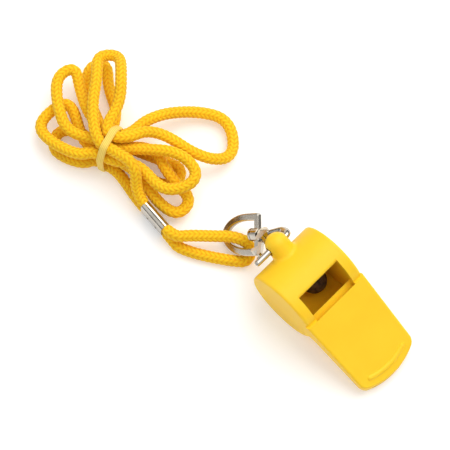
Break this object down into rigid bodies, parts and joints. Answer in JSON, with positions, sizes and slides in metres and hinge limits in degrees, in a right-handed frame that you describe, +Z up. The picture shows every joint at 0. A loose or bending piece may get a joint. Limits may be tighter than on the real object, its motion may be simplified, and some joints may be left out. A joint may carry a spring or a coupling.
{
  "type": "sports whistle",
  "caption": "Plastic pea whistle with an open sounding window, a swivel snap hook through its lug, and a plaited neck cord bundled by an elastic band.",
  "frame": {"origin": "on the surface, below the middle of the whistle and its clip", "axes": "+Z up as it lies; +X from the lug to the mouthpiece; Y across the barrel, with the side cover at +Y"},
  "size_m": [0.1216, 0.0413, 0.021],
  "materials": {
    "yellow_plastic": "smooth moulded plastic, satin gloss",
    "cork": "bare cork",
    "plated_metal": "bright nickel plate",
    "spring_steel": "drawn wire",
    "yellow_cord": "plaited synthetic cord",
    "elastic_band": "flat elastic"
  },
  "bodies": {
    "whistle": {"whistle_body": "yellow_plastic", "side_cover": "yellow_plastic"},
    "pea": {"pea": "cork"},
    "hook": {"hook_body": "plated_metal", "gate_pin": "plated_metal", "gate_spring": "spring_steel"},
    "gate": {"gate": "plated_metal"},
    "lanyard": {"swivel_eye": "plated_metal", "clip_loop": "yellow_cord", "ferrule": "plated_metal", "neck_cord": "yellow_cord", "band": "elastic_band"}
  },
  "joints": [
    {"name": "pea_roll", "type": "hinge", "parent": "whistle", "child": "pea", "pos_m": [-0.00193, 0, 0.0105], "axis": [0, 1, 0], "continuous": true},
    {"name": "hook_swing", "type": "hinge", "parent": "whistle", "child": "hook", "pos_m": [-0.01353, 0, 0.01761], "axis": [0, 1, 0], "range_deg": [-20, 150]},
    {"name": "gate_pivot", "type": "hinge", "parent": "hook", "child": "gate", "pos_m": [-0.01842, -0.0006, 0.01206], "axis": [-0.7499, 0, 0.6615], "range_deg": [0, 12], "stiffness_Nm_per_rad": 0.02, "springref_deg": -17.19},
    {"name": "eye_swivel", "type": "hinge", "parent": "hook", "child": "lanyard", "pos_m": [-0.02041, 0, 0.00981], "axis": [-0.618, -0.3567, -0.7006], "continuous": true}
  ]
}
